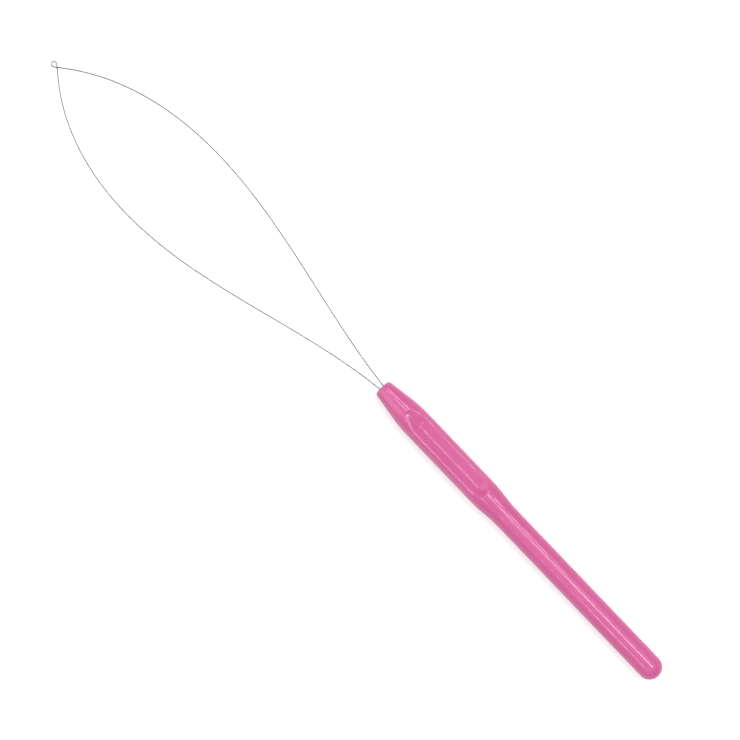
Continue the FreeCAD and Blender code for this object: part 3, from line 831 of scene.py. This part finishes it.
class THREADER_OT_stage(Operator):
    """Puts up the camera, the floor and the soft lights"""
    bl_idname = "threader.stage"
    bl_label = "Stage"

    def execute(self, context):
        stage, sensor = context.scene.threader_stage, 36
        camera = bpy.data.objects.new("camera", bpy.data.cameras.new("camera"))
        context.scene.collection.objects.link(camera)
        camera.data.sensor_width = sensor
        camera.data.lens = sensor * stage.camera_height / stage.view_width
        camera.data.clip_start, camera.data.clip_end = 0.05, 20
        cos, sin = math.cos(stage.roll), math.sin(stage.roll)
        camera.matrix_world = Matrix(((-cos, sin, 0, stage.centre_x), (-sin, -cos, 0, stage.centre_y),
                                      (0, 0, 1, stage.camera_height), (0, 0, 0, 1)))
        context.scene.camera = camera

        half, low = stage.floor_size / 2, cad_box[0].z
        floor = mesh_object("floor", np.array([(-half, -half, low), (half, -half, low), (half, half, low),
                                               (-half, half, low)]), [[0, 1, 2, 3]], smooth=False)
        floor.data.materials.append(floor_material())

        for name, lean, low_x, high_x, glow in STRIPS:
            lean = math.radians(lean)
            place = Vector((0, -math.sin(lean), math.cos(lean))) * stage.strip_distance
            place.x = (low_x + high_x) / 2
            wide, long = stage.strip_width, high_x - low_x
            soft_light(name, place, (place.x, 0, 0), wide, long, glow * wide * long * math.pi)
        soft_light("big soft light", (1.05, 0.95, 0.95), (0, 0, 0), wide=1.7, long=1.7, watts=9.5)
        context.scene.world = studio_world(low=0.25, high=0.72)
        context.scene.view_settings.view_transform = "Standard"
        return {"FINISHED"}


# ---------------------------------------------------------------- the operators
class THREADER_OT_handle(Operator):
    """Builds the moulded handle with its finger recesses"""
    bl_idname = "threader.handle"
    bl_label = "Handle"

    def execute(self, context):
        h, r = context.scene.threader_handle, context.scene.threader_recess
        rings = handle_surface(h, r)
        made = turned_object("handle", rings, rings[0].mean(0), (-h.overall, 0, 0))
        made.data.materials.append(plastic_material())
        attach(made, "handle")
        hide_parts("handle_body")
        return {"FINISHED"}


class THREADER_OT_bond(Operator):
    """Fills the bore with cured adhesive"""
    bl_idname = "threader.bond"
    bl_label = "Bond"

    def execute(self, context):
        h, w = context.scene.threader_handle, context.scene.threader_wire
        rings = bond_surface(w, h)
        made = turned_object("bond", rings, rings[0].mean(0), (float(BOND_LOW[0]), 0, 0))
        made.data.materials.append(bond_material())
        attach(made, "handle")
        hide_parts("bond_plug")
        return {"FINISHED"}


class THREADER_OT_wire(Operator):
    """Bends the spring wire into the loop and its eye"""
    bl_idname = "threader.wire"
    bl_label = "Wire loop"

    def execute(self, context):
        w = context.scene.threader_wire
        paths, lengths = wire_paths(w)
        steel = wire_material()
        gap, eye_gap = 0.5 * MM, 0.12 * MM
        for side in SIDES:
            path, leg_end = paths[side], lengths[side]
            hinges = ("left_root" if side == "left" else "loop_squeeze", f"{side}_knee", f"{side}_shoulder")
            root, knee, shoulder = (self.nearest(path, JOINTS[name]["pos_m"]) for name in hinges)
            inner_cut, middle_cut = (root + knee) / 2, (knee + shoulder) / 2
            outer_cut = (shoulder + leg_end) / 2 if side == "left" else leg_end
            reach = (shoulder - knee) / 2
            # each tube: where it starts and ends, the hinge it bends across and how far to each side of
            # it, the distance between its rings, whether it meets the other leg's wire, and its nodes
            tubes = {
                f"wire_{side}_root": (path[0][0], inner_cut, root, 2 * MM, gap, False, ["wire_tails"]),
                f"wire_{side}_knee": (inner_cut, middle_cut, knee, 0.98 * reach, gap, False,
                                      [f"{side}_leg_inner"]),
                f"wire_{side}_shoulder": (middle_cut, outer_cut, shoulder, 0.7 * reach, gap,
                                          side == "right", [f"{side}_leg_middle"]),
            }
            if side == "left":
                tubes["wire_eye"] = (outer_cut, path[0][-1], leg_end, 1.2 * MM, eye_gap, True,
                                     ["left_leg_outer", "tip_eye"])
            else:
                tubes["wire_right_shoulder"][-1].append("right_leg_outer")
            bodies = ["handle", f"{side}_inner", f"{side}_middle", f"{side}_outer", "tip_eye"]
            for (name, tube), before, after in zip(tubes.items(), bodies, bodies[1:]):
                low, high, hinge, spread, spacing, meets_other, nodes = tube
                made = wire_piece(name, w, path, low, high, spacing, round_end=meets_other)
                made.data.materials.append(steel)
                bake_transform(made)
                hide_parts(*nodes)
        return {"FINISHED"}

    @staticmethod
    def nearest(path, place):
        """Distance along a path to its point nearest a place, seen from above."""
        even, dense = path
        return float(even[np.argmin(np.hypot(dense[:, 0] - place[0], dense[:, 1] - place[1]))])


class THREADER_PT_sidebar(Panel):
    """Lists the threader's pieces and sizes"""
    bl_idname = "THREADER_PT_sidebar"
    bl_label = "Needle Threader"
    bl_space_type = "VIEW_3D"
    bl_region_type = "UI"
    bl_category = "Threader"

    def draw(self, context):
        for operator in (THREADER_OT_stage, THREADER_OT_handle, THREADER_OT_bond, THREADER_OT_wire):
            self.layout.operator(operator.bl_idname)
        for label in SETTINGS:
            box = self.layout.box()
            settings = getattr(context.scene, label)
            for prop in settings.__annotations__:
                box.prop(settings, prop)


SETTINGS = {
    "threader_handle": HandleSizes,
    "threader_recess": RecessSizes,
    "threader_wire": WireSizes,
    "threader_finish": FinishSettings,
    "threader_stage": StageSettings,
}
CLASSES = (*SETTINGS.values(), THREADER_OT_stage, THREADER_OT_handle, THREADER_OT_bond, THREADER_OT_wire,
           THREADER_PT_sidebar)


def register():
    """Makes the settings, the operators and the sidebar known to Blender."""
    for cls in CLASSES:
        bpy.utils.register_class(cls)
    for name, cls in SETTINGS.items():
        setattr(bpy.types.Scene, name, PointerProperty(type=cls))


def unregister():
    """Takes them away again."""
    for name in SETTINGS:
        delattr(bpy.types.Scene, name)
    for cls in reversed(CLASSES):
        bpy.utils.unregister_class(cls)


def main():
    """Builds everything."""
    register()
    bpy.ops.threader.stage()
    bpy.ops.threader.handle()
    bpy.ops.threader.bond()
    bpy.ops.threader.wire()


if __name__ == "__main__":
    main()
